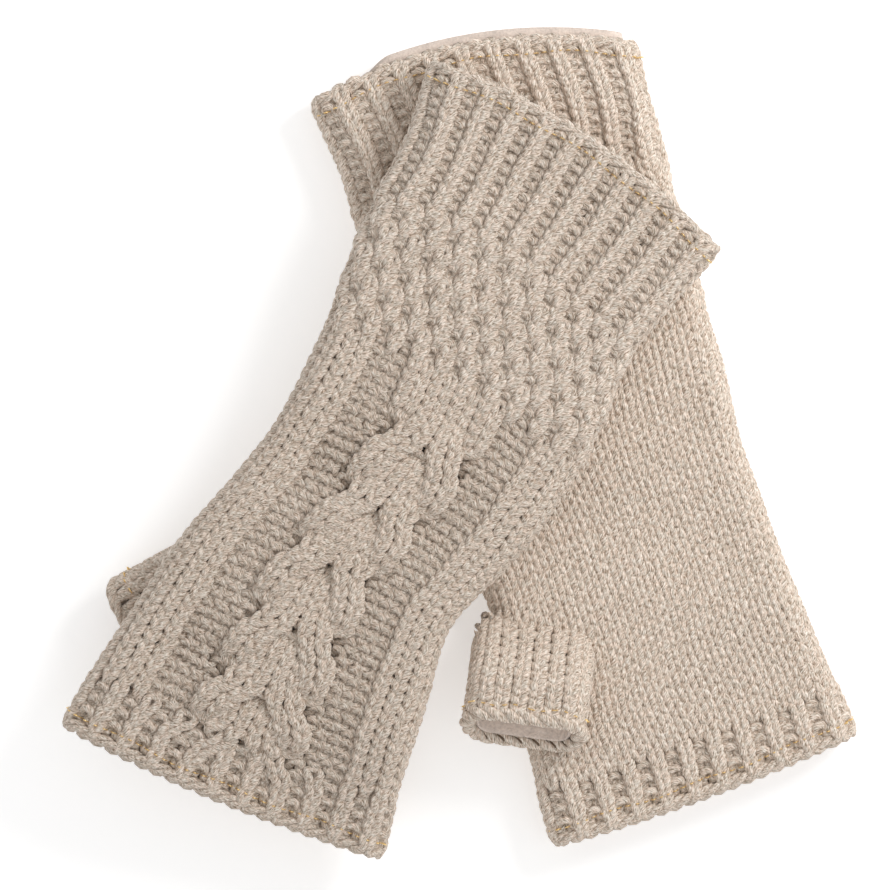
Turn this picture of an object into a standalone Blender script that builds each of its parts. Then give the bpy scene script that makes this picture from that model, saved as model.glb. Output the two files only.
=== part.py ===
"""A pair of hand-knitted fingerless gloves with a fleece lining.

The gloves lie flat, the left one, back of the hand up, across the right one,
which lies palm up. Each glove is a flattened knitted tube: a bound-off wrist
edge, a ribbed cuff, a moss-stitch band and a cable panel on the back, a plain
palm, a short ribbed band and a bound-off edge at the fingers. A short knitted
sleeve for the thumb grows out of the palm. A fleece tube lines the hand and
another one the thumb, and a metallic thread sews each lining to its opening.

Millimetres throughout, turned into metres when the meshes are made. +Z is up
and +Y runs from the fingers to the wrists. The origin is under the middle of
the pair, on the surface that it lies on.
"""

import math

import bmesh
import bpy
import numpy as np

MM = 0.001

# ---- driving dimensions ------------------------------------------------------
THICK = 16.0  # a lined glove lying flat, outside to outside
KNIT = 3.6  # wall of the knitting
LINING = 0.9  # wall of the fleece
GAP = 0.3  # left between pieces that touch
THREAD = 1.2  # width of the sewn thread's band
THREAD_WALL = 1.6
LIFT = THICK + GAP  # the left glove lies on the right one

THUMB_BACK = -20.0  # where the sleeve's outer wall leaves the palm
THUMB_HALF_WIDTH = 17.8
THUMB_UPPER = 7.0  # how far the outer wall reaches past the sleeve's root
THUMB_LOWER = 17.0  # the wall next to the palm reaches further, as a lip
THUMB_RIB = 3.0  # bound-off edge of the sleeve

CENTRE = (4.55, -0.487)  # middle of the pair in the outlines' own coordinates

# Outlines: the two folds of each glove, from the wrist to the fingers, with the
# thumb's side first, and how far the middle of the wrist edge and of the finger
# edge bulge out.
OUTLINES = {
    "left": {
        "thumb_side": [
            (-4.3, 109.7), (-12.8, 84.1), (-22.8, 65.5), (-32.8, 38.5), (-44.2, 14.2),
            (-58.4, -6.6), (-74.1, -24.2), (-89.8, -47.0), (-109.7, -78.9),
        ],
        "far_side": [
            (78.4, 55.0), (64.7, 39.9), (52.2, 22.8), (44.2, 4.3), (31.3, -18.5),
            (15.7, -37.0), (2.8, -51.3), (-4.8, -72.7), (-11.4, -94.0), (-17.7, -118.3),
        ],
        "bulge": (6.5, 2.5),
        "drop": 9.0,
    },
    "right": {
        "thumb_side": [
            (-39.3, 98.3), (-31.3, 81.2), (-25.6, 61.3), (-17.1, 32.8), (-7.1, 4.3),
            (2.8, -24.2), (12.3, -47.0), (18.5, -69.8), (30.8, -115.4),
        ],
        "far_side": [
            (55.6, 115.4), (60.7, 94.0), (67.0, 69.8), (74.1, 44.2), (78.9, 27.1),
            (85.5, 1.4), (94.6, -24.2), (104.6, -49.9), (118.8, -82.6),
        ],
        "bulge": (8.5, 2.0),
        "drop": 0.0,
    },
}

# Where one kind of stitch gives way to the next, as a share of the length.
SECTIONS = {
    "left": {"edge": 0.0155, "cuff": 0.163, "moss": 0.368, "panel": 0.919, "band": 0.9845},
    "right": {"edge": 0.0150, "cuff": 0.165, "moss": 0.368, "panel": 0.925, "band": 0.9850},
}

# The thumb: the sleeve's root in plan, the way it points, and its thickness.
THUMBS = {
    "left": {"root": (-74.2, -46.2), "points": (-0.900, -0.435), "thick": 15.7},
    "right": {"root": (23.8, -69.3), "points": (-0.130, -0.992), "thick": 14.4},
}

COLOURS = {
    "knit": ((0.60, 0.49, 0.40, 1.0), 0.95, 0.0),
    "rib": ((0.57, 0.46, 0.37, 1.0), 0.95, 0.0),
    "cable": ((0.54, 0.43, 0.34, 1.0), 0.95, 0.0),
    "fleece": ((0.80, 0.69, 0.58, 1.0), 1.0, 0.0),
    "thread": ((0.78, 0.60, 0.28, 1.0), 0.35, 0.8),
}


# ---- curves --------------------------------------------------------------------
def spline(points):
    """A natural cubic spline through the points, as a function of 0 to 1 by chord."""
    p = np.asarray(points, float)
    t = np.concatenate([[0.0], np.cumsum(np.linalg.norm(np.diff(p, axis=0), axis=1))])
    t /= t[-1]
    h, n = np.diff(t), len(p)
    a, b = np.eye(n), np.zeros_like(p)
    for i in range(1, n - 1):
        a[i, i - 1 : i + 2] = h[i - 1], 2 * (h[i - 1] + h[i]), h[i]
        b[i] = 6 * ((p[i + 1] - p[i]) / h[i] - (p[i] - p[i - 1]) / h[i - 1])
    m = np.linalg.solve(a, b)

    def at(s):
        i = int(np.clip(np.searchsorted(t, s, side="right") - 1, 0, n - 2))
        u, v = (t[i + 1] - s) / h[i], (s - t[i]) / h[i]
        return u * p[i] + v * p[i + 1] + ((u**3 - u) * m[i] + (v**3 - v) * m[i + 1]) * h[i] ** 2 / 6

    return at


def smooth(x):
    x = min(max(x, 0.0), 1.0)
    return x * x * (3 - 2 * x)


class Glove:
    """Maps a share of the length, a place round the tube and a depth to a point."""

    def __init__(self, name):
        self.name, self.data = name, OUTLINES[name]
        self.thumb_side = spline(self.data["thumb_side"])
        self.far_side = spline(self.data["far_side"])
        self.length = float(np.mean([
            sum(np.linalg.norm(side(i / 50) - side((i + 1) / 50)) for i in range(50))
            for side in (self.thumb_side, self.far_side)
        ]))

    def base(self, s, u):
        """Height of the glove's underside: the left glove lies on the right one and on its own thumb, and sinks beyond them."""
        if self.name == "right":
            return 0.0
        return LIFT - self.data["drop"] * smooth((s - 0.81) / 0.19) * smooth((u + 0.45) / 1.15)

    def point(self, s, x, z):
        """x across in mm from the middle of the row, z up from the middle of the thickness."""
        a, b = self.thumb_side(s), self.far_side(s)
        half = np.linalg.norm(b - a) / 2
        across = (b - a) / (2 * half)
        along = np.array([across[1], -across[0]])  # towards the fingers
        u = x / half
        bulge = (s * self.data["bulge"][1] - (1 - s) * self.data["bulge"][0]) * (1 - u * u)
        at = (a + b) / 2 + across * x + along * bulge - np.array(CENTRE)
        return at[0], at[1], self.base(s, u) + THICK / 2 + z

    def half(self, s):
        return np.linalg.norm(self.far_side(s) - self.thumb_side(s)) / 2


def stadium(half, thick, depth, part, corner=4, flat=4):
    """Points round a flat tube's section, `depth` inside its surface.

    part is "all", "top" or "bottom". Halves stop just short of the folds."""
    r, w = thick / 2 - depth, half - thick / 2
    trim = GAP / 2 / (thick / 2)
    points = []
    if part in ("all", "top"):
        start = trim if part == "top" else 0.0
        points += [(w + r * math.cos(q), r * math.sin(q)) for q in np.linspace(start, math.pi / 2, corner)]
        points += [(x, r) for x in np.linspace(w, -w, flat + 1)[1:-1]]
        end = math.pi - start
        points += [(-w + r * math.cos(q), r * math.sin(q)) for q in np.linspace(math.pi / 2, end, corner)]
    if part in ("all", "bottom"):
        start = math.pi + (trim if part == "bottom" else 0.0)
        first = 0 if part == "bottom" else 1
        points += [(-w + r * math.cos(q), r * math.sin(q)) for q in np.linspace(start, 1.5 * math.pi, corner)[first:]]
        points += [(x, -r) for x in np.linspace(-w, w, flat + 1)[1:-1]]
        end = 2 * math.pi - (trim if part == "bottom" else 0.0)
        last = corner if part == "bottom" else corner - 1
        points += [(w + r * math.cos(q), r * math.sin(q)) for q in np.linspace(1.5 * math.pi, end, corner)[:last]]
    return points


# ---- meshes ----------------------------------------------------------------------
def material(name):
    found = bpy.data.materials.get(name)
    if found:
        return found
    colour, rough, metal = COLOURS[name]
    made = bpy.data.materials.new(name)
    made.use_nodes = True
    shader = made.node_tree.nodes["Principled BSDF"]
    shader.inputs["Base Color"].default_value = colour
    shader.inputs["Roughness"].default_value = rough
    shader.inputs["Metallic"].default_value = metal
    made.diffuse_color = colour
    return made


def wall(name, outer, inner, closed, look, parent, origin=(0.0, 0.0, 0.0)):
    """One solid wall between two grids of points: rings along the piece, points round it."""
    mesh = bmesh.new()
    grids = []
    for grid in (outer, inner):
        grids.append([[mesh.verts.new([(c - o) * MM for c, o in zip(p, origin)]) for p in ring] for ring in grid])
    out, inn = grids
    rings, around = len(out), len(out[0])
    steps = around if closed else around - 1
    for k in range(rings - 1):
        for j in range(steps):
            n = (j + 1) % around
            mesh.faces.new((out[k][j], out[k][n], out[k + 1][n], out[k + 1][j]))
            mesh.faces.new((inn[k][j], inn[k + 1][j], inn[k + 1][n], inn[k][n]))
    for k in (0, rings - 1):
        for j in range(steps):
            n = (j + 1) % around
            mesh.faces.new((out[k][j], inn[k][j], inn[k][n], out[k][n]))
    if not closed:
        for j in (0, around - 1):
            for k in range(rings - 1):
                mesh.faces.new((out[k][j], out[k + 1][j], inn[k + 1][j], inn[k][j]))
    bmesh.ops.recalc_face_normals(mesh, faces=mesh.faces)
    data = bpy.data.meshes.new(name)
    mesh.to_mesh(data)
    mesh.free()
    data.shade_smooth()
    data.set_sharp_from_angle(angle=math.radians(50))
    made = bpy.data.objects.new(name, data)
    made.data.materials.append(material(look))
    made.location = [c * MM for c in origin]
    made.parent = parent
    bpy.context.scene.collection.objects.link(made)
    return made


def stations(glove, start, end):
    """Shares of the length from start to end, the same ones in the knitting and in the lining under it."""
    shared = list(SECTIONS[glove.name].values())
    shared += list(np.arange(0.06, 0.70, 0.115))
    if glove.data["drop"]:
        shared += list(np.arange(0.735, 0.98, 0.042))
    else:
        shared += list(np.arange(0.755, 0.98, 0.09))
    return sorted([start, end] + [s for s in shared if start + 0.006 < s < end - 0.006])


def band(glove, name, start, end, part, look, parent, depth=0.0, thickness=KNIT):
    """A length of a glove's knitting, all the way round or one face of it."""
    marks = stations(glove, start, end)
    def grid(d):
        return [[glove.point(s, x, z) for x, z in stadium(glove.half(s), THICK, d, part)] for s in marks]
    return wall(name, grid(depth), grid(depth + thickness), part == "all", look, parent)


def thumb_frame(side):
    """The sleeve's root, the way it points, across it, up from the palm, and the palm's height."""
    data = THUMBS[side]
    d = np.array([*data["points"], 0.0])
    d /= np.linalg.norm(d)
    up = np.array([0.0, 0.0, 1.0 if side == "right" else -1.0])
    height = THICK + GAP if side == "right" else LIFT - GAP
    root = np.array([data["root"][0] - CENTRE[0], data["root"][1] - CENTRE[1], height])
    return root, d, np.cross(up, d), up, data["thick"]


def thumb_walls(t, thick):
    """At share t along the sleeve: the point next to the palm and the point away from it, as (along, up)."""
    if t < 0.5:
        q = t / 0.5
        swing = q * math.pi / 2
        outer = (THUMB_BACK + 20.0 * (1 - math.cos(swing)) * 0.85 + 3.0 * q, thick * math.sin(swing))
        return (0.0, 0.0), outer
    q = (t - 0.5) / 0.5
    return (THUMB_LOWER * q, 0.0), (THUMB_UPPER * q, thick)


def thumb_ring(side, t, depth, count=16):
    root, along, across, up, thick = thumb_frame(side)
    near, far = (np.array(p) for p in thumb_walls(t, thick))
    middle, span = (near + far) / 2, np.linalg.norm(far - near)
    way = (far - near) / span
    # Deeper points stay in the ring's own plane, and a slanting ring needs more depth for the same wall.
    reach = span / 2 - depth * (1.0 + 0.35 * max(0.0, 0.5 - t) * 2)
    width = THUMB_HALF_WIDTH - depth - reach
    ring = []
    for k in range(count):
        q = 2 * math.pi * k / count
        x = math.copysign(max(width, 0.0), math.cos(q)) if abs(math.cos(q)) > 1e-9 else 0.0
        x, y = x + reach * math.cos(q), reach * math.sin(q)
        at = root + along * (middle[0] + way[0] * y) + up * (middle[1] + way[1] * y) + across * x
        ring.append(tuple(at))
    return ring


def sleeve(side, name, start, end, look, parent, depth, thickness, rings):
    root, along, _, _, _ = thumb_frame(side)
    hinge = tuple(root + along * THUMB_BACK / 2)
    marks = np.linspace(start, end, rings)
    outer = [thumb_ring(side, t, depth) for t in marks]
    inner = [thumb_ring(side, t, depth + thickness) for t in marks]
    return wall(name, outer, inner, True, look, parent, hinge)


def thumb_hole(side):
    """A cutter for the hole in the palm that the thumb goes through."""
    root, along, across, up, _ = thumb_frame(side)
    # The hole sits a little to the palm's own side of the sleeve's middle.
    towards_palm = across if np.dot(across[:2], palm_side(side)) > 0 else -across
    middle = root + along * -10.2 + towards_palm * 3.0
    mesh = bmesh.new()
    verts = []
    for level in (-7.0, 4.0):
        ring = []
        for k in range(16):
            q = 2 * math.pi * k / 16
            x = 6.5 * (1 if math.cos(q) > 0 else -1) + 4.2 * math.cos(q)
            ring.append(mesh.verts.new([c * MM for c in middle + across * x + along * 4.2 * math.sin(q) + up * level]))
        verts.append(ring)
    low, high = verts
    for k in range(16):
        n = (k + 1) % 16
        mesh.faces.new((low[k], low[n], high[n], high[k]))
    mesh.faces.new(low)
    mesh.faces.new(high)
    bmesh.ops.recalc_face_normals(mesh, faces=mesh.faces)
    data = bpy.data.meshes.new(side + "_thumb_hole_cutter")
    mesh.to_mesh(data)
    mesh.free()
    made = bpy.data.objects.new(data.name, data)
    made.hide_render = True
    made.display_type = "WIRE"
    bpy.context.scene.collection.objects.link(made)
    return made


def palm_side(side):
    """From the thumb towards the rest of the palm, in plan."""
    glove = Glove(side)
    way = glove.far_side(0.75) - glove.thumb_side(0.75)
    return way / np.linalg.norm(way)


def cut(piece, cutter):
    hole = piece.modifiers.new("thumb_hole", "BOOLEAN")
    hole.operation = "DIFFERENCE"
    hole.solver = "EXACT"
    hole.object = cutter


def empty(name):
    made = bpy.data.objects.new(name, None)
    bpy.context.scene.collection.objects.link(made)
    return made


def build(side):
    glove, marks = Glove(side), SECTIONS[side]
    parent = empty(side + "_glove")
    gap, thread = GAP / glove.length, THREAD / glove.length
    face = {"left": ("top", "bottom"), "right": ("bottom", "top")}[side]
    back, palm = face

    def name(part):
        return side + "_" + part

    band(glove, name("wrist_edge"), 0.0, marks["edge"], "all", "rib", parent)
    first = marks["edge"] + gap
    band(glove, name("wrist_thread"), first, first + thread, "all", "thread", parent, 0.1, THREAD_WALL)
    first += thread + gap
    band(glove, name("wrist_rib"), first, marks["cuff"], "all", "rib", parent)
    band(glove, name("moss_panel"), marks["cuff"] + gap, marks["moss"], back, "knit", parent)
    band(glove, name("cable_panel"), marks["moss"] + gap, marks["panel"], back, "cable", parent)
    whole_palm = band(glove, name("palm_panel"), marks["cuff"] + gap, marks["panel"], palm, "knit", parent)
    last = marks["band"] - gap - thread
    band(glove, name("finger_rib"), marks["panel"] + gap, last - gap, "all", "rib", parent)
    band(glove, name("finger_thread"), last, last + thread, "all", "thread", parent, 0.1, THREAD_WALL)
    band(glove, name("finger_edge"), marks["band"], 1.0, "all", "rib", parent)
    lining = band(glove, name("hand_lining"), 0.004, 0.996, "all", "fleece", parent, KNIT + GAP, LINING)

    cutter = thumb_hole(side)
    cut(whole_palm, cutter)
    cut(lining, cutter)

    edge = 1 - THUMB_RIB / 24.0
    line, space = 0.05, 0.022
    sleeve(side, name("thumb_sleeve"), 0.0, edge - line - space, "knit", parent, 0.0, KNIT, 7)
    sleeve(side, name("thumb_thread"), edge - line, edge - space, "thread", parent, 0.1, THREAD_WALL, 2)
    sleeve(side, name("thumb_edge"), edge, 1.0, "rib", parent, 0.0, KNIT, 2)
    sleeve(side, name("thumb_lining"), 0.0, 0.985, "fleece", parent, KNIT + GAP, LINING, 7)


def main():
    for old in list(bpy.data.objects):
        bpy.data.objects.remove(old, do_unlink=True)
    for side in ("right", "left"):
        build(side)


main()
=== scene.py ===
"""A pair of hand-knitted, fleece-lined fingerless gloves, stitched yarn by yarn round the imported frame."""

import math

import bpy
import numpy as np
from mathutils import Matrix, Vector


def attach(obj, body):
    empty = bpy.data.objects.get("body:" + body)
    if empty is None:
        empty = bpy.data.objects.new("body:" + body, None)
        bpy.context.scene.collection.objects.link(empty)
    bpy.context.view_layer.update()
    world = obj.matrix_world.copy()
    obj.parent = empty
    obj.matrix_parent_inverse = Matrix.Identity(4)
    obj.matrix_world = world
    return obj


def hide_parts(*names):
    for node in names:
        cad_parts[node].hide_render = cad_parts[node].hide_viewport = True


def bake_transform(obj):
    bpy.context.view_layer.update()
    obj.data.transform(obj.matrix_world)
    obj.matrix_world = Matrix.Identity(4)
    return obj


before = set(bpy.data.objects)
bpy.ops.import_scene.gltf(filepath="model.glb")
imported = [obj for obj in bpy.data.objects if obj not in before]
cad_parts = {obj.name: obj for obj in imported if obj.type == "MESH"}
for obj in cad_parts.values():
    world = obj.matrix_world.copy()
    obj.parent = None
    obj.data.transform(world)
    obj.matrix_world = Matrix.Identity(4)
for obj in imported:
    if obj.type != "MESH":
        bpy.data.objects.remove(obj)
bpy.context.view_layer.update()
RNG = np.random.default_rng(7)

# ---- sizes, millimetres --------------------------------------------------------
THICK, KNIT, GAP, LINING = 16.0, 3.6, 0.3, 0.9
LIFT = THICK + GAP
MID = 2.0  # the yarn's middle surface lies this far inside the CAD skin
ROUND = THICK / 2 - MID
YARN = 1.22
DEPTH = 0.92  # how far legs and heads stand off the middle surface
CENTRE = np.array([4.55, -0.487])

OUTLINES = {
    "left": {
        "thumb_side": [
            (-4.3, 109.7), (-12.8, 84.1), (-22.8, 65.5), (-32.8, 38.5), (-44.2, 14.2),
            (-58.4, -6.6), (-74.1, -24.2), (-89.8, -47.0), (-109.7, -78.9),
        ],
        "far_side": [
            (78.4, 55.0), (64.7, 39.9), (52.2, 22.8), (44.2, 4.3), (31.3, -18.5),
            (15.7, -37.0), (2.8, -51.3), (-4.8, -72.7), (-11.4, -94.0), (-17.7, -118.3),
        ],
        "bulge": (6.5, 2.5),
        "drop": 9.0,
    },
    "right": {
        "thumb_side": [
            (-39.3, 98.3), (-31.3, 81.2), (-25.6, 61.3), (-17.1, 32.8), (-7.1, 4.3),
            (2.8, -24.2), (12.3, -47.0), (18.5, -69.8), (30.8, -115.4),
        ],
        "far_side": [
            (55.6, 115.4), (60.7, 94.0), (67.0, 69.8), (74.1, 44.2), (78.9, 27.1),
            (85.5, 1.4), (94.6, -24.2), (104.6, -49.9), (118.8, -82.6),
        ],
        "bulge": (8.5, 2.0),
        "drop": 0.0,
    },
}
SECTIONS = {
    "left": {"edge": 0.0155, "cuff": 0.163, "moss": 0.368, "panel": 0.919, "band": 0.9845},
    "right": {"edge": 0.0150, "cuff": 0.165, "moss": 0.368, "panel": 0.925, "band": 0.9850},
}
# Rows of stitches in each section, from the wrist: cuff, moss, panel, finger band.
ROWS = {"left": (10, 12, 34, 4), "right": (10, 13, 38, 4)}
THUMBS = {
    "left": {"root": (-75.2, -47.2), "points": (-0.880, -0.475), "thick": 15.7, "ends": (11.5, 17.6)},
    "right": {"root": (23.8, -69.3), "points": (-0.130, -0.992), "thick": 14.4, "ends": (8.6, 16.4)},
}
THUMB_HALF_WIDTH = 17.8
FACE = 22  # stitches across each face
AROUND = 2 * FACE
STEPS = 14  # points of yarn in a stitch
SIDES = 7


# ---- the gloves' surfaces ------------------------------------------------------
def spline(points):
    p = np.asarray(points, float)
    t = np.concatenate([[0.0], np.cumsum(np.linalg.norm(np.diff(p, axis=0), axis=1))])
    t /= t[-1]
    h, n = np.diff(t), len(p)
    a, b = np.eye(n), np.zeros_like(p)
    for i in range(1, n - 1):
        a[i, i - 1 : i + 2] = h[i - 1], 2 * (h[i - 1] + h[i]), h[i]
        b[i] = 6 * ((p[i + 1] - p[i]) / h[i] - (p[i] - p[i - 1]) / h[i - 1])
    m = np.linalg.solve(a, b)

    def at(s):
        s = np.asarray(s, float)
        i = np.clip(np.searchsorted(t, s, side="right") - 1, 0, n - 2)
        u, v = ((t[i + 1] - s) / h[i])[..., None], ((s - t[i]) / h[i])[..., None]
        w = (h[i] ** 2 / 6)[..., None]
        return u * p[i] + v * p[i + 1] + ((u**3 - u) * m[i] + (v**3 - v) * m[i + 1]) * w

    return at


def smooth(x):
    x = np.clip(x, 0.0, 1.0)
    return x * x * (3 - 2 * x)


class Glove:
    def __init__(self, name):
        self.name, self.data = name, OUTLINES[name]
        self.thumb_side, self.far_side = spline(self.data["thumb_side"]), spline(self.data["far_side"])
        marks = np.linspace(0, 1, 101)
        self.length = float(np.mean([
            np.linalg.norm(np.diff(side(marks), axis=0), axis=1).sum() for side in (self.thumb_side, self.far_side)
        ]))
        self.back_up = name == "left"

    def point(self, s, f, h, inside=MID):
        """s along, f round the tube (0 to 1 over the top from the thumb's fold, 1 to 2 back underneath), h off the surface."""
        s, f, h = np.broadcast_arrays(np.asarray(s, float), np.asarray(f, float), np.asarray(h, float))
        sc = np.clip(s, -0.02, 1.02)
        a, b = self.thumb_side(sc), self.far_side(sc)
        half = np.linalg.norm(b - a, axis=-1) / 2
        across = (b - a) / (2 * half)[..., None]
        along = np.stack([across[..., 1], -across[..., 0]], -1)
        r = THICK / 2 - inside
        w = half - THICK / 2
        arc = math.pi * r / 2
        f = np.mod(f, 2.0)
        under = f > 1.0
        g = np.where(under, 2.0 - f, f)
        dist = g * (2 * arc + 2 * w)
        q1 = np.clip(dist / r, 0, math.pi / 2)
        q2 = np.clip((dist - arc - 2 * w) / r, 0, math.pi / 2)
        flat = np.clip(dist - arc, 0, 2 * w)
        on_left, on_right = dist < arc, dist > arc + 2 * w
        nx = np.where(on_left, -np.cos(q1), np.where(on_right, np.sin(q2), 0.0))
        nz = np.where(on_left, np.sin(q1), np.where(on_right, np.cos(q2), 1.0))
        nz = np.where(under, -nz, nz)
        x = -w + flat + (r + h) * nx
        z = (r + h) * nz
        u = x / half
        bulge = (s * self.data["bulge"][1] - (1 - s) * self.data["bulge"][0]) * (1 - np.clip(u * u, 0, 1))
        extra = (s - sc) * self.length
        plan = (a + b) / 2 + across * x[..., None] + along * (bulge + extra)[..., None] - CENTRE
        base = 0.0 if self.name == "right" else LIFT - self.data["drop"] * smooth((s - 0.81) / 0.19) * smooth((u + 0.45) / 1.15)
        up = base + THICK / 2 + z
        normal = np.stack([across[..., 0] * nx, across[..., 1] * nx, nz], -1)
        return np.concatenate([plan, up[..., None]], -1), normal


# ---- yarn ------------------------------------------------------------------------
def tubes(path, normal, radius, closed, sides, squash=0.92):
    """Round tubes along many paths at once: (rows, points, 3). Returns points, faces, their numbers and the length along each."""
    rows, n, _ = path.shape
    if closed:
        tangent = np.roll(path, -1, 1) - np.roll(path, 1, 1)
    else:
        tangent = np.gradient(path, axis=1)
    tangent /= np.linalg.norm(tangent, axis=-1, keepdims=True) + 1e-12
    side = np.cross(tangent, normal)
    side /= np.linalg.norm(side, axis=-1, keepdims=True) + 1e-12
    up = np.cross(side, tangent)
    radius = np.broadcast_to(np.asarray(radius, float), (rows, n))
    ring = 2 * math.pi * np.arange(sides) / sides
    c, s = np.cos(ring), np.sin(ring)
    verts = (path[:, :, None, :]
             + side[:, :, None, :] * (radius[:, :, None] * c)[..., None]
             + up[:, :, None, :] * (radius[:, :, None] * s * squash)[..., None])
    index = np.arange(rows * n * sides).reshape(rows, n, sides)
    nxt = np.roll(index, -1, 1) if closed else index[:, 1:]
    cur = index if closed else index[:, :-1]
    around_c, around_n = np.roll(cur, -1, 2), np.roll(nxt, -1, 2)
    quads = np.stack([cur, nxt, around_n, around_c], -1).reshape(-1, 4)
    step = np.linalg.norm(np.diff(path, axis=1, append=path[:, :1]), axis=-1)
    length = np.concatenate([np.zeros((rows, 1)), np.cumsum(step, 1)], 1)
    return verts, quads, index, length


def settle(z):
    """Yarn that would go through the floor is pressed flat on it."""
    soft = 0.45
    return np.where(z < soft, soft * np.exp(np.minimum(z - soft, 0.0) / soft), z)


class Mesh:
    """Collects tubes, then makes one object of them."""

    def __init__(self):
        self.verts, self.faces, self.uv, self.bake, self.caps, self.painted_shade_depth = [], [], [], [], [], []
        self.count, self.lines = 0, 0

    def add_tubes(self, path, normal, radius, closed, sides=SIDES, squash=0.92, height=0.9):
        rows, n, _ = path.shape
        ring = np.sin(2 * math.pi * np.arange(sides) / sides) * squash
        self.painted_shade_depth.append((np.broadcast_to(height, (rows, n))[..., None] + np.broadcast_to(radius, (rows, n))[..., None] * ring).ravel())
        verts, quads, index, length = tubes(path, normal, radius, closed, sides, squash)
        verts[..., 2] = settle(verts[..., 2])
        self.verts.append(verts.reshape(-1, 3))
        self.faces.append(quads + self.count)
        nq = n if closed else n - 1
        u0 = length[:, :nq, None] * np.ones(sides)
        u1 = length[:, 1 : nq + 1, None] * np.ones(sides)
        v0 = np.broadcast_to(np.arange(sides) / sides, (rows, nq, sides))
        v1 = v0 + 1 / sides
        # Each row starts at its own place along the yarn, so that no two rows look alike.
        shift = (np.arange(rows) + self.lines)[:, None, None] * 37.3
        around = 2 * math.pi * YARN
        uv = np.stack([
            np.stack([u0 + shift, v0 * around], -1), np.stack([u1 + shift, v0 * around], -1),
            np.stack([u1 + shift, v1 * around], -1), np.stack([u0 + shift, v1 * around], -1)], -2)
        self.uv.append(uv.reshape(-1, 2))
        k0 = np.broadcast_to(np.arange(nq)[None, :, None] / nq, (rows, nq, sides))
        k1 = k0 + 1 / nq
        line = (np.arange(rows) + self.lines)[:, None, None]
        bake = np.stack([
            np.stack([k0, line + v0 * 0.96 + 0.02], -1), np.stack([k1, line + v0 * 0.96 + 0.02], -1),
            np.stack([k1, line + v1 * 0.96 + 0.02], -1), np.stack([k0, line + v1 * 0.96 + 0.02], -1)], -2)
        self.bake.append(bake.reshape(-1, 2))
        if not closed:
            caps = []
            for k, flip in ((0, False), (n - 1, True)):
                ends = index[:, k, :] + self.count
                caps.append(ends[:, ::-1] if flip else ends)
            self.caps.append(np.concatenate(caps))
        self.count += rows * n * sides
        self.lines += rows
        return self

    def make(self, name, material, darkening=1.0):
        verts = np.concatenate(self.verts) / 1000
        quads = np.concatenate(self.faces)
        uv, bake = np.concatenate(self.uv), np.concatenate(self.bake)
        mesh = bpy.data.meshes.new(name)
        mesh.vertices.add(len(verts))
        mesh.vertices.foreach_set("co", verts.astype(np.float32).ravel())
        loops = [quads.ravel()]
        totals = [np.full(len(quads), 4)]
        for cap in self.caps:
            loops.append(cap.ravel())
            totals.append(np.full(len(cap), cap.shape[1]))
        loops, totals = np.concatenate(loops), np.concatenate(totals)
        mesh.loops.add(len(loops))
        mesh.loops.foreach_set("vertex_index", loops.astype(np.int32))
        mesh.polygons.add(len(totals))
        starts = np.concatenate([[0], np.cumsum(totals)[:-1]])
        mesh.polygons.foreach_set("loop_start", starts.astype(np.int32))
        mesh.polygons.foreach_set("loop_total", totals.astype(np.int32))
        extra = len(loops) - len(uv)
        flat = np.concatenate([uv, np.zeros((extra, 2))])
        yarn = mesh.uv_layers.new(name="yarn")
        yarn.data.foreach_set("uv", flat.astype(np.float32).ravel())
        bake = bake.copy()
        bake[:, 1] /= max(self.lines, 1)
        flat = np.concatenate([bake * 0.998 + 0.001, np.full((extra, 2), 0.0005)])
        layer = mesh.uv_layers.new(name="OFBake")
        layer.data.foreach_set("uv", flat.astype(np.float32).ravel())
        mesh.polygons.foreach_set("use_smooth", np.ones(len(totals), bool))
        # How far each point stands off the fabric, for painted shade: wool deep between the stitches, and the underside
        # of each strand, is painted darker.
        painted_shade_depth = mesh.attributes.new("painted_shade_depth", "FLOAT", "POINT")
        painted_shade_depth.data.foreach_set("value", np.concatenate(self.painted_shade_depth).astype(np.float32))
        layer = mesh.attributes.new("darkening", "FLOAT", "POINT")
        layer.data.foreach_set("value", np.full(len(verts), darkening, np.float32))
        mesh.update(calc_edges=True)
        mesh.validate()
        made = bpy.data.objects.new(name, mesh)
        bpy.context.scene.collection.objects.link(made)
        mesh.materials.append(material)
        return made


def stitch_path(steps):
    """One stitch: share of its width, height in rows, and the weights of leg, head and foot."""
    t = 2 * math.pi * np.arange(steps) / steps
    leg = np.sin(t) ** 2
    cos2 = np.cos(t) ** 2
    head = np.where(np.cos(t) < 0, cos2, 0.0)
    foot_left = np.where((np.cos(t) >= 0) & (t < math.pi), cos2, 0.0)
    foot_right = np.where((np.cos(t) >= 0) & (t >= math.pi), cos2, 0.0)
    return t, leg, head, foot_left, foot_right


def blur(values, width, axis):
    """A Gaussian blur along one axis that holds the ends."""
    reach = int(math.ceil(3 * width))
    share = np.exp(-0.5 * (np.arange(-reach, reach + 1) / width) ** 2)
    share /= share.sum()
    count = values.shape[axis]
    return sum(
        w * np.take(values, np.clip(np.arange(count) + i - reach, 0, count - 1), axis) for i, w in enumerate(share)
    )


def waves(amount, count=9):
    """A smooth random field over s and f, which closes on itself round the tube."""
    m, n = RNG.integers(-3, 4, count), RNG.uniform(1.0, 7.0, count)
    phase, size = RNG.uniform(0, 2 * math.pi, count), RNG.uniform(0.5, 1.0, count)
    size *= amount / np.sqrt((size**2).sum() / 2)

    def at(s, f):
        return sum(a * np.sin(math.pi * i * f + 2 * math.pi * k * s + p) for i, k, p, a in zip(m, n, phase, size))

    return at


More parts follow.
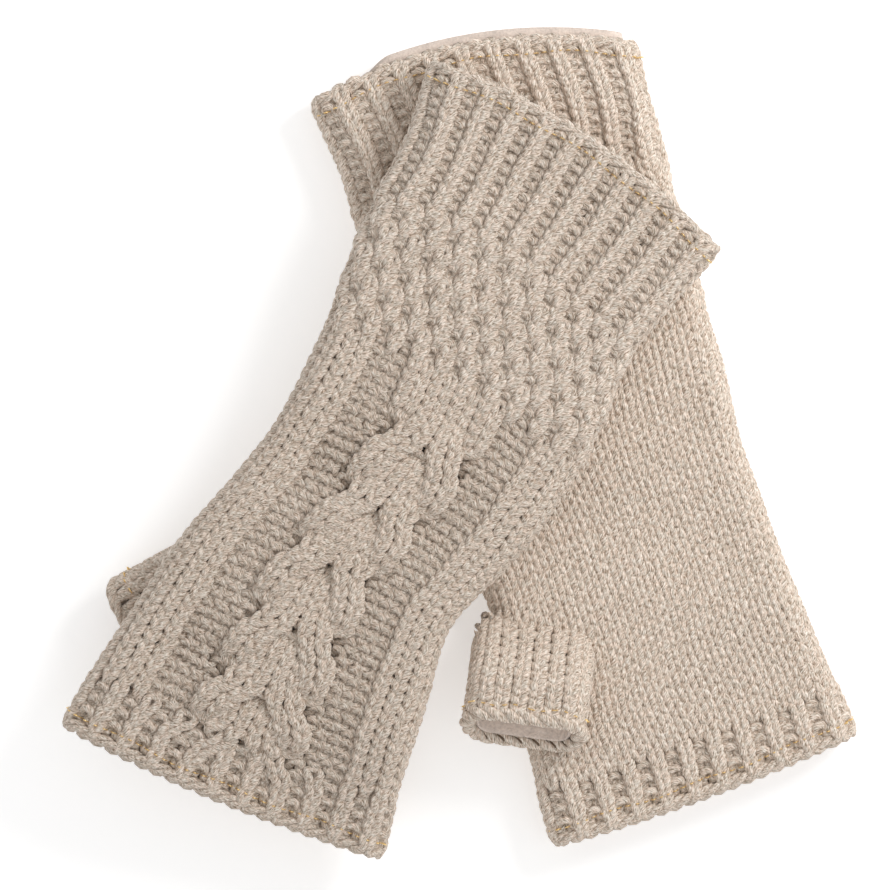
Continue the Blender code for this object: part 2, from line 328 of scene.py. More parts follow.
def stitches(side, spread=0.225, close=None, tuck=1.0):
    """The yarn through a block of stitches, side +1 where the plain side shows: column, row and height of each point.

    spread is how far the legs lean, which makes the V of a plain stitch; close draws the legs of chosen stitches together,
    and a small tuck pulls down the head of a plain stitch that follows a purl one."""
    rows, cols = side.shape
    close = np.zeros((rows, cols)) if close is None else close
    t, leg, head, foot_left, foot_right = stitch_path(STEPS)
    f = t / (2 * math.pi)

    def each(amount):
        return RNG.normal(0, amount, (rows, cols))[..., None]

    near_wrist = np.concatenate([side[:1], side[:-1]])[..., None]
    left = ((side + np.roll(side, 1, 1)) / 2)[..., None]
    right = ((side + np.roll(side, -1, 1)) / 2)[..., None]
    middle = np.sin(t / 2) ** 2
    col = np.arange(cols)[None, :, None] + f + spread * (1 + each(0.08)) * np.sin(2 * t) + each(0.03) * middle
    col = col - close[..., None] * leg * (f - 0.5)
    reach = np.where(np.cos(t) < 0, 0.93 * (1 + each(0.05)), 0.93)
    row = np.arange(rows)[:, None, None] + 0.5 + reach * np.cos(t) + each(0.05) * middle
    over = np.where((side[..., None] > 0) & (near_wrist < 0), tuck, 1.0)
    z = DEPTH * (side[..., None] * leg - over * near_wrist * head - left * foot_left - right * foot_right)
    z = z + each(0.10) * middle
    radius = YARN * (0.94 + 0.13 * leg + 0 * z) * (1 + each(0.04) * middle)
    return f, col, row, z, radius


# ---- a knitted hand --------------------------------------------------------------
CABLE = 8  # stitches in the horseshoe cable, between purl columns
PURL, PLAIN = 3, 4  # purl and plain columns beside it, towards each fold
FIRST = PURL + PLAIN
CROSSINGS = {
    "left": (5.5, 11.4, 17.4, 23.5, 29.2, 34.0),
    "right": (5.5, 11.7, 17.9, 24.1, 30.3, 36.5),
}
CROSS_HEIGHT = 1.55
PINCH = 1.05  # columns that the cable narrows by, each side, at a crossing
DUCK = 1.7  # columns that an arm goes inwards as it ducks under


def place_of(name, rho):
    """Share of the glove's length at a row."""
    marks = SECTIONS[name]
    rows = np.concatenate([[0], np.cumsum(ROWS[name])]).astype(float)
    places = np.array([0.010, marks["cuff"], marks["moss"], marks["panel"], 0.990])
    first = places[0] + rho * (places[1] - places[0]) / rows[1]
    last = places[-1] + (rho - rows[-1]) * (places[-1] - places[-2]) / (rows[-1] - rows[-2])
    return np.where(rho < 0, first, np.where(rho > rows[-1], last, np.interp(rho, rows, places)))


def pattern(glove):
    """For each stitch: the side that shows, the width of its column and how far it stands off."""
    cuff, moss, panel, finger = ROWS[glove.name]
    rows = cuff + moss + panel + finger
    side, width, lift = np.ones((rows, AROUND)), np.ones((rows, AROUND)), np.zeros((rows, AROUND))
    c = np.arange(AROUND)
    back = c < FACE if glove.back_up else c >= FACE
    place = np.where(c < FACE, c, AROUND - 1 - c)
    inner = (place >= FIRST) & (place < FIRST + CABLE)
    purl = (place >= PLAIN) & (place < FACE - PLAIN) & ~inner
    for r in range(rows):
        if r < cuff or r >= rows - finger:
            knit = c % 2 == 0
            side[r] = np.where(knit, 1, -1)
            width[r] = np.where(knit, 0.86, 1.14)
            lift[r] = np.where(knit, 0.42, -0.5) if 0 < r < rows - 1 else 0.15
        elif r < cuff + moss:
            side[r] = np.where(back, np.where((c + (r - cuff) // 2) % 2 == 0, 1, -1), 1)
            lift[r] = np.where(back, 0.62 * side[r] - 0.1, 0.0)
        else:
            side[r] = np.where(back & purl, -1, 1)
            width[r] = np.where(back, np.where(inner, 1.0, np.where(purl, 0.95, 1.05)), 1.0)
            lift[r] = np.where(back, np.where(inner, 0.7, np.where(purl, -0.6, 0.05)), 0.0)
    width = blur(width, 1.2, 0)
    edges = np.zeros((rows, AROUND + 1))
    for half in (0, 1):
        share = width[:, half * FACE : (half + 1) * FACE]
        edges[:, half * FACE + 1 : (half + 1) * FACE + 1] = half + np.cumsum(share / share.sum(1, keepdims=True), 1)
    return side, edges, blur(lift, 0.7, 0), place, back


def cable(glove, place, back, f, col, row):
    """Where the cable carries each point, sideways in columns, and how high.

    From one crossing to the next, the inner pair of columns lies in the middle as a tongue, and the outer pair sweeps
    outwards on top of it as an arm. At the crossing the arm ducks under and becomes the next tongue."""
    cuff, moss, panel, finger = ROWS[glove.name]
    marks = np.array(CROSSINGS[glove.name]) + cuff + moss
    rows = row.shape[0]
    k = np.searchsorted(marks, np.arange(rows) + 0.5) - 1
    long = np.concatenate([[6.0], np.diff(marks), [4.2]])
    start = np.concatenate([[marks[0] - 6.0], marks])
    phase = np.clip((row - start[k + 1][:, None, None]) / long[k + 1][:, None, None], 0, 1)
    first, last = (k == -1)[:, None, None], (k == len(marks) - 1)[:, None, None]
    nearing = np.where(last, 0.0, 1.0)  # there is another crossing ahead
    leaving = np.where(first, 0.0, 1.0)  # there was one before
    at = np.where(col < FACE, col, AROUND - col)  # from the thumb's fold
    gone = 1 - smooth((phase - 0.03) / 0.36)
    out = (1 - np.clip((phase - 0.03) / 0.97, 0, 1)) ** 2
    duck = smooth((phase - 0.76) / 0.24) * nearing
    low, high = PINCH * gone * leaving, 2 + 2 * out * leaving
    risen = (1 - smooth(phase / 0.2)) * leaving
    widen = smooth((phase - 0.72) / 0.28) * nearing * (2 - PINCH)
    arm_up = leaving * np.where(last, 1 - smooth(phase), 1 - smooth((phase - 0.5) / 0.5)) - nearing * smooth((phase - 0.5) / 0.5)
    tongue_up = leaving * (-1.0 + (1.0 + 0.6 * nearing) * smooth(phase / 0.5)) + nearing * np.where(
        first, smooth((phase - 0.5) / 0.5), 0.25 * smooth((phase - 0.6) / 0.4))
    sway, rise = np.zeros_like(at), np.zeros_like(at)
    for mirrored in (False, True):
        along = FIRST + CABLE - at if mirrored else at - FIRST
        half = FIRST + CABLE - 1 - place if mirrored else place - FIRST
        is_outside, is_arm, is_tongue = (
            shared(kind.astype(float)[None, :, None] + 0 * f, f)
            for kind in (half < 0, (half >= 0) & (half < 2), (half >= 2) & (half < 4))
        )
        arm_to = low + along * (high - low) / 2 + DUCK * duck
        tongue_to = along - (2 - DUCK) * risen - widen * (4 - along) / 2
        follow = np.interp(along, [-4.5, -3, -2, -1, 0], [0, 0.14, 0.38, 0.68, 1.0])
        outside_to = along + follow * PINCH * (gone * leaving + duck)
        to = is_outside * outside_to + is_arm * arm_to + is_tongue * tongue_to
        here = is_outside + is_arm + is_tongue
        sway += (-1 if mirrored else 1) * (to - here * along)
        # An arm is rounded over its two columns, and the tongue over its four.
        rise += is_arm * (arm_up * CROSS_HEIGHT + 0.25 - 0.7 * (along - 1) ** 2)
        rise += is_tongue * (tongue_up * CROSS_HEIGHT - 0.16 * (along - 4) ** 2)
        rise -= 4 * is_arm * is_tongue * np.clip(np.abs(arm_to - tongue_to), 0, 1.2) * 0.6
    return sway * np.where(col < FACE, 1.0, -1.0) * back[None, :, None], rise * back[None, :, None]


def shared(values, f, edge=0.18):
    """Eases a value from each stitch into its neighbours' over its ends."""
    before, after = np.roll(values, 1, 1), np.roll(values, -1, 1)
    start, end = smooth(f / edge), smooth((f - 1 + edge) / edge)
    eased = np.where(f < edge, before * (0.5 - 0.5 * start) + values * (0.5 + 0.5 * start), values)
    return np.where(f > 1 - edge, values * (1 - 0.5 * end) + after * 0.5 * end, eased)


def knit_hand(glove):
    """Points, normals and radius of all of a hand's yarn: (rows, columns, steps)."""
    side, edges, lift, place, back = pattern(glove)
    rows = side.shape[0]
    cuff, moss, panel, finger = ROWS[glove.name]
    line = np.arange(rows)[:, None]
    in_moss = back[None, :] & (line >= cuff) & (line < cuff + moss)
    in_rib = (line < cuff) | (line >= rows - finger)
    on_cable = back[None, :] & (line >= cuff + moss) & (line < rows - finger) & (place >= FIRST) & (place < FIRST + CABLE)
    wales = back[None, :] & (line >= cuff + moss) & (line < rows - finger) & (side > 0)
    f, col, row, z, radius = stitches(side, close=0.16 * (in_moss & (side > 0)) + 0.26 * wales, tuck=-0.15)
    fuller = 1 + np.where(side > 0, 0.24, 0.08) * in_moss + 0.07 * in_rib + 0.02 * on_cable
    radius = radius * shared(fuller[..., None] + 0 * f, f, 0.3)
    in_panel = blur(((np.arange(rows) >= cuff + moss) & (np.arange(rows) < rows - finger)).astype(float), 0.8, 0)
    sway, rise = cable(glove, place, back, f, col, row)
    z = z + rise * in_panel[:, None, None]
    col = col + sway
    z = z + shared(lift[..., None] + 0 * f, f, 0.3)
    wide = np.concatenate([edges[:, -2:-1] - 2, edges, edges[:, 1:2] + 2], 1)
    at = np.clip(col + 1, 0, AROUND + 1.999)
    whole = np.floor(at).astype(int)
    line = np.arange(rows)[:, None, None]
    a, b = wide[line, whole], wide[line, np.minimum(whole + 1, AROUND + 2)]
    around = a + (b - a) * (at - whole)
    s = place_of(glove.name, row)
    s = s + waves(0.35 / glove.length)(s, around) * smooth(s * 12) * smooth((1 - s) * 12)
    around = around + waves(0.0032)(s, around)
    z = z + waves(0.18)(s, around)
    points, normals = glove.point(s, around, z)
    return points, normals, radius, z


def sink(glove, points):
    """The palm's knitting dips under the thumb's sleeve."""
    thumb = Thumb(glove.name)
    x, y = thumb.plan(points)
    inside = smooth((THUMB_HALF_WIDTH - 1.5 - np.abs(y)) / 3) * smooth((x + 19.0) / 6) * smooth((1.0 - x) / 3)
    z = points[..., 2].copy()
    level = 16.0 if glove.name == "right" else LIFT
    near = np.abs(z - level) < 6
    points[..., 2] = z - thumb.up[2] * 3.4 * inside * near
    return points


def courses(mesh, knitted, rows, first=None, last=None):
    """Adds rows of a hand to a mesh: closed rounds, or only the columns from first to last."""
    points, normals, radius, z = knitted
    if first is None:
        shape = (len(rows), -1)
        mesh.add_tubes(points[rows].reshape(*shape, 3), normals[rows].reshape(*shape, 3), radius[rows].reshape(shape), True, height=z[rows].reshape(shape))
        return mesh

    def part(a, extra):
        body = a[rows][:, first:last].reshape(len(rows), -1, *extra)
        tip = a[rows][:, last % AROUND, 0].reshape(len(rows), 1, *extra)
        return np.concatenate([body, tip], 1)

    return mesh.add_tubes(part(points, (3,)), part(normals, (3,)), part(radius, ()), False, height=part(z, ()))


# ---- the thumb -------------------------------------------------------------------
class Thumb:
    """A short sleeve that rises out of the palm: t along it, q round it from the middle of the wall next to the palm."""

    def __init__(self, name):
        data = THUMBS[name]
        self.name, self.thick = name, data["thick"]
        self.far_end, self.near_end = data["ends"]
        along = np.array([*data["points"], 0.0])
        self.along = along / np.linalg.norm(along)
        self.up = np.array([0.0, 0.0, 1.0 if name == "right" else -1.0])
        self.across = np.cross(self.up, self.along)
        height = THICK + GAP if name == "right" else LIFT - GAP
        self.root = np.array([data["root"][0] - CENTRE[0], data["root"][1] - CENTRE[1], height])

    def plan(self, points):
        way = points - self.root
        return way @ self.along, way @ self.across

    def skin(self, t, q):
        t, q = np.broadcast_arrays(np.asarray(t, float), np.mod(np.asarray(q, float), 1.0))
        low, high = np.clip(t / 0.5, 0, 1), np.clip((t - 0.5) / 0.5, 0, 1.2)
        ramp = np.sin(low * math.pi / 2)
        far_x = np.where(t < 0.5, -22 + 22 * low, self.far_end * high)
        far_z = self.thick * np.where(t < 0.5, ramp ** 1.7, 1.0)
        near_x = np.where(t < 0.5, -3.0 * (1 - low), self.near_end * high)
        near_z = np.where(t < 0.5, -0.2 * (1 - low), 0.0)
        span = np.hypot(far_x - near_x, far_z - near_z)
        wx, wz = (far_x - near_x) / span, (far_z - near_z) / span
        r = span / 2
        w = np.maximum(THUMB_HALF_WIDTH - r, 0.5)
        total = 4 * w + 2 * math.pi * r
        d = q * total
        arc = math.pi * r
        a1 = np.clip((d - w) / r, 0, math.pi)
        a2 = np.clip((d - 3 * w - arc) / r, 0, math.pi)
        x = np.clip(d, 0, w) - np.clip(d - w - arc, 0, 2 * w) + np.clip(d - 3 * w - 2 * arc, 0, w)
        x = x + r * np.sin(a1) - r * np.sin(a2)
        y = np.where(d < w, -r, np.where(d < w + arc, -r * np.cos(a1), np.where(d < 3 * w + arc, r, r * np.cos(a2))))
        y = np.where(d > 3 * w + 2 * arc, -r, y)
        middle_x, middle_z = (far_x + near_x) / 2, (far_z + near_z) / 2
        return (self.root + self.along * (middle_x + wx * y)[..., None]
                + self.up * (middle_z + wz * y)[..., None] + self.across * x[..., None])

    def point(self, t, q, h, inside=MID):
        eps = 0.004
        p = self.skin(t, q)
        dt = self.skin(np.asarray(t) + eps, q) - self.skin(np.asarray(t) - eps * (np.asarray(t) > eps), q)
        dq = self.skin(t, np.asarray(q) + eps) - self.skin(t, np.asarray(q) - eps)
        normal = np.cross(dq, dt)
        normal /= np.linalg.norm(normal, axis=-1, keepdims=True) + 1e-9
        return p + normal * (np.asarray(h) - inside)[..., None], normal


THUMB_COLUMNS, THUMB_ROWS = 18, 11


def thumb_place(row):
    """Share of the sleeve's length at a row."""
    return np.interp(row, [-1, 0, 7.9, THUMB_ROWS, THUMB_ROWS + 1], [-0.04, 0.0, 0.5, 0.90, 1.03])


def knit_thumb(thumb):
    side = np.ones((THUMB_ROWS, THUMB_COLUMNS))
    f, col, row, z, radius = stitches(side, close=0.2 * side)
    t = thumb_place(row)
    q = np.mod(col / THUMB_COLUMNS, 1.0)
    top = smooth((0.27 - np.abs(q - 0.5)) / 0.14)
    deep = z - 2.6 * (1 - smooth(t / 0.17)) * top  # the first rows come up out of the palm
    points, normals = thumb.point(t, q, deep)
    thin = 0.35 + 0.67 * smooth((t + 0.02) / 0.12 + top)  # the yarn tapers into the palm at the side edges
    return points, normals, radius * thin, z


# ---- ropes, threads and linings -----------------------------------------------------
def rope(point, turns, count, offset=0.92, radius=0.98, squash=1.0):
    """Three strands laid round one another: point gives the middle, an outward way and a sideways way round a loop."""
    mesh = Mesh()
    u = np.arange(count) / count
    middle, out, aside = point(u)
    paths, ups = [], []
    for i in range(3):
        q = 2 * math.pi * (turns * u + i / 3)
        push = out * (offset * squash * np.sin(q))[:, None] + aside * (offset * np.cos(q))[:, None]
        paths.append(middle + push)
        ups.append(push / np.linalg.norm(push, axis=1, keepdims=True))
    wob = 1 + 0.03 * np.sin(2 * math.pi * u * 37)[None, :]
    return mesh.add_tubes(np.array(paths), np.array(ups), radius * wob * np.ones((3, 1)), True, sides=8, squash=0.95)


def hand_loop(glove, s, h):
    def point(u):
        f = 2 * u
        middle, out = glove.point(s, f, h)
        further, _ = glove.point(s + 0.002, f, h)
        aside = further - middle
        aside /= np.linalg.norm(aside, axis=1, keepdims=True)
        return middle, out, aside
    return point


def thumb_loop(thumb, t, h):
    def point(u):
        middle, out = thumb.point(t, u, h + 0 * u)
        further, _ = thumb.point(t - 0.01, u, h + 0 * u)
        aside = middle - further
        aside /= np.linalg.norm(aside, axis=1, keepdims=True)
        return middle, out, aside
    return point


def thread(point, dashes, count, low=-0.6, high=2.55, drift=0.45):
    """A thin metallic thread that dips in and out of the knitting."""
    mesh = Mesh()
    u = np.arange(count) / count
    middle, out, aside = point(u)
    q = 2 * math.pi * dashes * u
    wave = 0.5 + 0.5 * np.sin(q + 0.9 * np.sin(2 * math.pi * 5 * u) + 0.6 * np.sin(2 * math.pi * 11 * u))
    path = middle + out * (low + (high - low) * wave)[:, None] + aside * (drift * np.sin(2 * math.pi * 7 * u))[:, None]
    return mesh.add_tubes(path[None], out[None], 0.19, True, sides=5, squash=0.8)


def lining(name, outer, inner, material):
    """A fleece tube: grids of points (along, round) for its outer and inner faces."""
    rings, around = outer.shape[:2]
    verts = np.concatenate([outer.reshape(-1, 3), inner.reshape(-1, 3)]) / 1000
    index = np.arange(rings * around).reshape(rings, around)
    here, there = index, np.roll(index, -1, 1)
    a = np.stack([here[:-1], there[:-1], there[1:], here[1:]], -1).reshape(-1, 4)
    k = rings * around
    b = np.stack([here[:-1], here[1:], there[1:], there[:-1]], -1).reshape(-1, 4) + k
    rim0 = np.stack([here[0], here[0] + k, there[0] + k, there[0]], -1)
    rim1 = np.stack([here[-1], there[-1], there[-1] + k, here[-1] + k], -1)
    quads = np.concatenate([a, b, rim0, rim1])
    mesh = bpy.data.meshes.new(name)
    mesh.from_pydata(verts.tolist(), [], quads.tolist())
    r, c = np.meshgrid(np.arange(rings - 1), np.arange(around), indexing="ij")

    def cell(r0, r1, c0, c1):
        return np.stack([np.stack([c0, r0], -1), np.stack([c1, r0], -1), np.stack([c1, r1], -1), np.stack([c0, r1], -1)], -2)

    outer_uv = cell(r / (rings - 1), (r + 1) / (rings - 1), c / around, (c + 1) / around).reshape(-1, 2)
    inner_uv = outer_uv.reshape(-1, 4, 2)[:, [0, 3, 2, 1]].reshape(-1, 2)
    outer_uv = outer_uv * [0.48, 0.96] + [0.01, 0.02]
    inner_uv = inner_uv * [0.48, 0.96] + [0.51, 0.02]
    c = np.arange(around)
    rim = np.stack([np.stack([c, c * 0], -1), np.stack([c, c * 0 + 1], -1), np.stack([c + 1, c * 0 + 1], -1), np.stack([c + 1, c * 0], -1)], -2) / [around, 1.0]
    rims = [(rim * [0.96, 0.008] + [0.02, v]).reshape(-1, 2) for v in (0.004, 0.986)]
    flat = np.concatenate([outer_uv, inner_uv, *rims])
    layer = mesh.uv_layers.new(name="OFBake")
    layer.data.foreach_set("uv", flat.astype(np.float32).ravel())
    mesh.polygons.foreach_set("use_smooth", np.ones(len(quads), bool))
    mesh.update(calc_edges=True)
    made = bpy.data.objects.new(name, mesh)
    bpy.context.scene.collection.objects.link(made)
    mesh.materials.append(material)
    return made


# ---- materials -----------------------------------------------------------------------
class Nodes:
    def __init__(self, name):
        self.material = bpy.data.materials.new(name)
        self.material.use_nodes = True
        self.tree = self.material.node_tree
        self.shader = self.tree.nodes["Principled BSDF"]

    def add(self, kind, **sockets):
        node = self.tree.nodes.new(kind)
        for key, value in sockets.items():
            setattr(node, key, value)
        return node

    def put(self, value, socket):
        if isinstance(value, bpy.types.NodeSocket):
            self.tree.links.new(value, socket)
        else:
            socket.default_value = value

    def math(self, operation, a, b=0.0, c=0.0):
        node = self.add("ShaderNodeMath", operation=operation)
        for value, socket in zip((a, b, c), node.inputs):
            self.put(value, socket)
        return node.outputs[0]

    def noise(self, vector, scale, detail=3.0, rough=0.5):
        node = self.add("ShaderNodeTexNoise")
        self.put(vector, node.inputs["Vector"])
        node.inputs["Scale"].default_value = scale
        node.inputs["Detail"].default_value = detail
        node.inputs["Roughness"].default_value = rough
        return node.outputs["Fac"]

    def ramp(self, value, stops):
        node = self.add("ShaderNodeValToRGB")
        self.put(value, node.inputs["Fac"])
        ramp = node.color_ramp
        while len(ramp.elements) < len(stops):
            ramp.elements.new(0.5)
        for element, (at, colour) in zip(ramp.elements, stops):
            element.position, element.color = at, (*colour, 1.0)
        return node.outputs["Color"]

    def mix(self, kind, share, a, b):
        node = self.add("ShaderNodeMix", data_type="RGBA", blend_type=kind)
        self.put(share, node.inputs[0])
        self.put(a, node.inputs[6])
        self.put(b, node.inputs[7])
        return node.outputs[2]


# Painted shade: colour factors from deep between the stitches (darkest) to the top of them (a little lighter, a painted
# highlight), over 4 mm.
PAINTED_SHADE_RAMP = [(0.05, (0.20, 0.155, 0.12)), (0.38, (0.52, 0.47, 0.42)), (0.60, (0.92, 0.91, 0.89)), (0.90, (1.07, 1.07, 1.06))]
GLOVE_DARKENING = {"left": 0.90, "right": 1.0}  # the left glove's wool is made darker than the right's


def wool(name, base):
    """Heather wool: plies twisted round the yarn, fine fibres along the plies, fibres of several tones, and painted
    shade on the yarn that lies deep between the stitches.
    """
    n = Nodes(name)
    uv = n.add("ShaderNodeUVMap", uv_map="yarn").outputs["UV"]
    split = n.add("ShaderNodeSeparateXYZ")
    n.put(uv, split.inputs[0])
    u, v = split.outputs[0], split.outputs[1]
    # Fibres run round the yarn in a helix: across counts them, along follows them.
    turn, pitch = 2 * math.pi * YARN, 8.0
    across = n.math("ADD", n.math("MULTIPLY", v, 1 / turn), n.math("MULTIPLY", u, 1 / pitch))
    along = n.math("SUBTRACT", u, n.math("MULTIPLY", v, 0.9))

    def streaks(number, run, detail, rough, seed):
        join = n.add("ShaderNodeCombineXYZ")
        n.put(n.math("MULTIPLY", along, run), join.inputs[0])
        n.put(n.math("MULTIPLY", across, number), join.inputs[1])
        join.inputs[2].default_value = seed
        return n.noise(join.outputs[0], 1.0, detail, rough)

    fine, bundles, heather = streaks(19.0, 0.75, 1.0, 0.6, 0.0), streaks(10.0, 0.45, 1.0, 0.6, 5.0), streaks(4.0, 0.22, 1.0, 0.5, 11.0)
    tone = n.math("ADD", n.math("MULTIPLY", fine, 0.62), n.math("ADD", n.math("MULTIPLY", bundles, 0.26), n.math("MULTIPLY", heather, 0.12)))
    b = np.array(base)
    colour = n.ramp(tone, [
        (0.36, tuple(b * [0.36, 0.30, 0.24])), (0.44, tuple(b * [0.78, 0.74, 0.69])),
        (0.52, tuple(b * 1.05)), (0.61, tuple(np.minimum(b * [1.40, 1.45, 1.51], 0.97)))])
    tint = n.ramp(streaks(6.0, 0.5, 1.0, 0.5, 23.0), [(0.40, (1.03, 0.987, 0.965)), (0.60, (0.98, 1.01, 1.015))])
    colour = n.mix("MULTIPLY", 1.0, colour, tint)
    # Painted shade: the lower a point lies between the stitches, the darker its colour is painted, and the tops a
    # little lighter.
    painted_shade_depth = n.add("ShaderNodeAttribute", attribute_name="painted_shade_depth").outputs["Fac"]
    colour = n.mix("MULTIPLY", 1.0, colour, n.ramp(n.math("MULTIPLY_ADD", painted_shade_depth, 0.25, 0.5), PAINTED_SHADE_RAMP))
    # The left glove's colour is scaled darker than the right's.
    colour = n.mix("MULTIPLY", 1.0, colour, n.add("ShaderNodeAttribute", attribute_name="darkening").outputs["Color"])
    n.put(colour, n.shader.inputs["Base Color"])
    n.shader.inputs["Roughness"].default_value = 0.92
    n.shader.inputs["Specular IOR Level"].default_value = 0.25
    n.shader.inputs["Sheen Weight"].default_value = 0.25
    n.shader.inputs["Sheen Roughness"].default_value = 0.5
    n.shader.inputs["Sheen Tint"].default_value = (1.0, 0.95, 0.88, 1.0)
    height = n.math("ADD", n.math("MULTIPLY", fine, 0.35), n.math("MULTIPLY", bundles, 0.65))
    bump = n.add("ShaderNodeBump")
    bump.inputs["Strength"].default_value = 1.0
    bump.inputs["Distance"].default_value = 0.0007
    n.put(height, bump.inputs["Height"])
    n.put(bump.outputs[0], n.shader.inputs["Normal"])
    return n.material


def fleece(name, base):
    n = Nodes(name)
    where = n.add("ShaderNodeTexCoord").outputs["Object"]
    fine, broad = n.noise(where, 1500.0, 3.0, 0.6), n.noise(where, 260.0, 2.0, 0.5)
    b = np.array(base)
    tone = n.math("ADD", n.math("MULTIPLY", fine, 0.6), n.math("MULTIPLY", broad, 0.4))
    n.put(n.ramp(tone, [(0.30, tuple(b * 0.72)), (0.55, tuple(b)), (0.75, tuple(np.minimum(b * 1.2, 0.96)))]), n.shader.inputs["Base Color"])
    n.shader.inputs["Roughness"].default_value = 1.0
    n.shader.inputs["Specular IOR Level"].default_value = 0.1
    n.shader.inputs["Sheen Weight"].default_value = 0.5
    bump = n.add("ShaderNodeBump")
    bump.inputs["Strength"].default_value = 0.7
    bump.inputs["Distance"].default_value = 0.0006
    n.put(tone, bump.inputs["Height"])
    n.put(bump.outputs[0], n.shader.inputs["Normal"])
    return n.material


def metal(name):
    n = Nodes(name)
    n.shader.inputs["Base Color"].default_value = (0.92, 0.66, 0.30, 1.0)
    n.shader.inputs["Metallic"].default_value = 0.85
    n.shader.inputs["Roughness"].default_value = 0.28
    return n.material


MATERIALS = {
    "wool_plain": wool("wool_plain", (0.655, 0.562, 0.484)),
    "wool_rib": wool("wool_rib", (0.655, 0.562, 0.484)),
    "wool_cable": wool("wool_cable", (0.65, 0.556, 0.477)),
    "fleece": fleece("fleece", (0.84, 0.71, 0.62)),
    "metallic_thread": metal("metallic_thread"),
}


# ---- the pair ------------------------------------------------------------------------
def finish(piece, slot, body, *nodes, bend=None):
    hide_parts(*nodes)
    if bend is None:
        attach(piece, body)
    else:
        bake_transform(piece)
    return piece


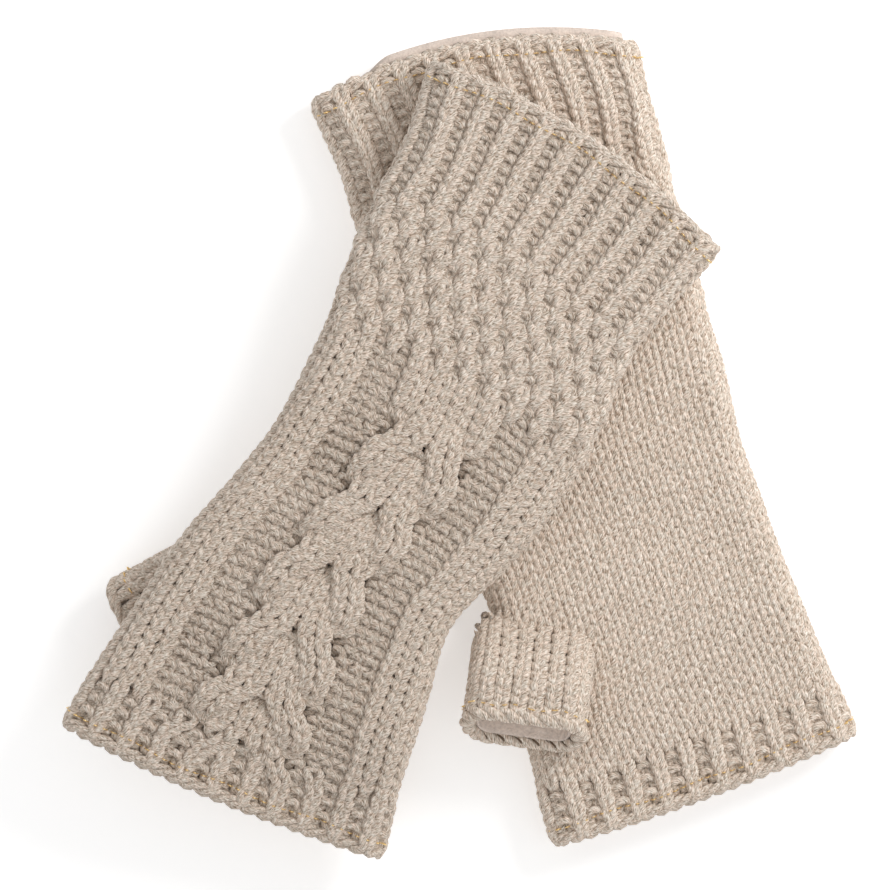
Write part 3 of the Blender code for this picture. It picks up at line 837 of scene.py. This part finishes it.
def build(name):
    glove, thumb = Glove(name), Thumb(name)
    body = name + "_glove"
    cuff, moss, panel, finger = ROWS[name]
    rows = cuff + moss + panel + finger
    points, normals, radius, z = knit_hand(glove)
    knitted = (sink(glove, points), normals, radius, z)
    back, palm = ((0, FACE), (FACE, AROUND)) if glove.back_up else ((FACE, AROUND), (0, FACE))

    def add(mesh, piece, slot, node, bend=None):
        return finish(mesh.make(name + "_" + piece, MATERIALS[slot], GLOVE_DARKENING[name]), slot, body, name + "_" + node, bend=bend)

    body_rows = np.arange(cuff, rows - finger)
    add(courses(Mesh(), knitted, np.arange(cuff)), "cuff_knitting", "wool_rib", "wrist_rib")
    add(courses(Mesh(), knitted, body_rows[:moss], *back), "moss_knitting", "wool_plain", "moss_panel")
    add(courses(Mesh(), knitted, body_rows[moss:], *back), "cable_knitting", "wool_cable", "cable_panel")
    add(courses(Mesh(), knitted, body_rows[:24], *palm), "palm_knitting_1", "wool_plain", "palm_panel")
    add(courses(Mesh(), knitted, body_rows[24:], *palm), "palm_knitting_2", "wool_plain", "palm_panel")
    add(courses(Mesh(), knitted, np.arange(rows - finger, rows)), "finger_knitting", "wool_rib", "finger_rib")
    count = 880
    add(rope(hand_loop(glove, 0.0088, 0.1), 15, count), "wrist_bind_off", "wool_rib", "wrist_edge")
    add(rope(hand_loop(glove, 0.9915, 0.1), 15, count), "finger_bind_off", "wool_rib", "finger_edge")
    add(thread(hand_loop(glove, 0.0235, 0.0), 78, count), "wrist_stitching", "metallic_thread", "wrist_thread")
    add(thread(hand_loop(glove, 0.9765, 0.0), 78, count), "finger_stitching", "metallic_thread", "finger_thread")

    sleeve = knit_thumb(thumb)
    mesh = Mesh()
    shape = (THUMB_ROWS, -1)
    mesh.add_tubes(sleeve[0].reshape(*shape, 3), sleeve[1].reshape(*shape, 3), sleeve[2].reshape(shape), True, height=sleeve[3].reshape(shape))
    add(mesh, "thumb_knitting", "wool_plain", "thumb_sleeve", bend=thumb)
    add(rope(thumb_loop(thumb, 0.955, 0.25), 6, count // 2, *((1.15, 1.35) if name == "right" else (0.85, 1.05))), "thumb_bind_off", "wool_rib", "thumb_edge", bend=thumb)
    add(thread(thumb_loop(thumb, 0.80, 0.0), 25, count // 2), "thumb_stitching", "metallic_thread", "thumb_thread", bend=thumb)

    # Fleece.
    along, around = ((110, 200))
    first, last = 0.004, 0.996
    s, f = np.meshgrid(np.linspace(first, last, along), 2 * np.arange(around) / around, indexing="ij")
    if name == "right":  # most of its wrist edge stands out past the knitting
        s = s - 0.015 * smooth((np.minimum(f, 2 - f) - 0.14) / 0.12) * (1 - smooth((s - first) / 0.3))
    nap = RNG.normal(0, 0.13, s.shape)
    outer, _ = glove.point(s, f, 0 * nap, inside=4.15)
    inner, _ = glove.point(s, f, nap, inside=4.15 + LINING)
    made = lining(name + "_hand_fleece", outer, inner, MATERIALS["fleece"])
    finish(made, "fleece", body, name + "_hand_lining")
    t, q = np.meshgrid(np.linspace(0.10, 0.925, 44), np.arange(90) / 90, indexing="ij")
    nap = RNG.normal(0, 0.12, t.shape)
    outer, _ = thumb.point(t, q, 0 * nap, inside=4.0)
    inner, _ = thumb.point(t, q, nap, inside=4.0 + LINING)
    made = lining(name + "_thumb_fleece", outer, inner, MATERIALS["fleece"])
    finish(made, "fleece", body, name + "_thumb_lining", bend=thumb)


for side_name in ("right", "left"):
    build(side_name)


# ---- floor, light and camera -----------------------------------------------------------
def studio():
    scene = bpy.context.scene
    floor_mesh = bpy.data.meshes.new("floor")
    e = 3.0
    floor_mesh.from_pydata([(-e, -e, -0.0003), (e, -e, -0.0003), (e, e, -0.0003), (-e, e, -0.0003)], [], [(0, 1, 2, 3)])
    floor = bpy.data.objects.new("floor", floor_mesh)
    scene.collection.objects.link(floor)
    n = Nodes("floor")
    n.shader.inputs["Base Color"].default_value = (0.90, 0.90, 0.90, 1.0)
    n.shader.inputs["Roughness"].default_value = 0.9
    n.shader.inputs["Emission Color"].default_value = (1.0, 1.0, 1.0, 1.0)
    n.shader.inputs["Emission Strength"].default_value = 0.36
    floor_mesh.materials.append(n.material)
    world = bpy.data.worlds.new("studio")
    world.use_nodes = True
    world.node_tree.nodes["Background"].inputs["Color"].default_value = (1.0, 1.0, 1.0, 1.0)
    world.node_tree.nodes["Background"].inputs["Strength"].default_value = 0.64
    scene.world = world
    light = bpy.data.lights.new("key", "AREA")
    light.shape, light.size, light.energy = "DISK", 0.30, 2.6
    made = bpy.data.objects.new("key", light)
    made.location = (0.46, 0.34, 0.44)
    made.rotation_euler = Vector((0.46, 0.34, 0.43)).to_track_quat("Z", "Y").to_euler()
    scene.collection.objects.link(made)
    light = bpy.data.lights.new("fill", "SUN")
    light.energy, light.angle = 0.25, math.radians(70.0)
    made = bpy.data.objects.new("fill", light)
    made.rotation_euler = [math.radians(k) for k in (35.0, 0.0, 20.0)]
    scene.collection.objects.link(made)
    away = 1.6
    camera = bpy.data.cameras.new("camera")
    camera.sensor_width = 36.0
    camera.lens = 36.0 * away / 0.25365
    camera.clip_end = 100.0
    made = bpy.data.objects.new("camera", camera)
    made.location = (-0.00455, 0.000487, 0.020 + away)
    scene.collection.objects.link(made)
    scene.camera = made
    scene.view_settings.view_transform = "Standard"
    scene.view_settings.look = "None"


studio()
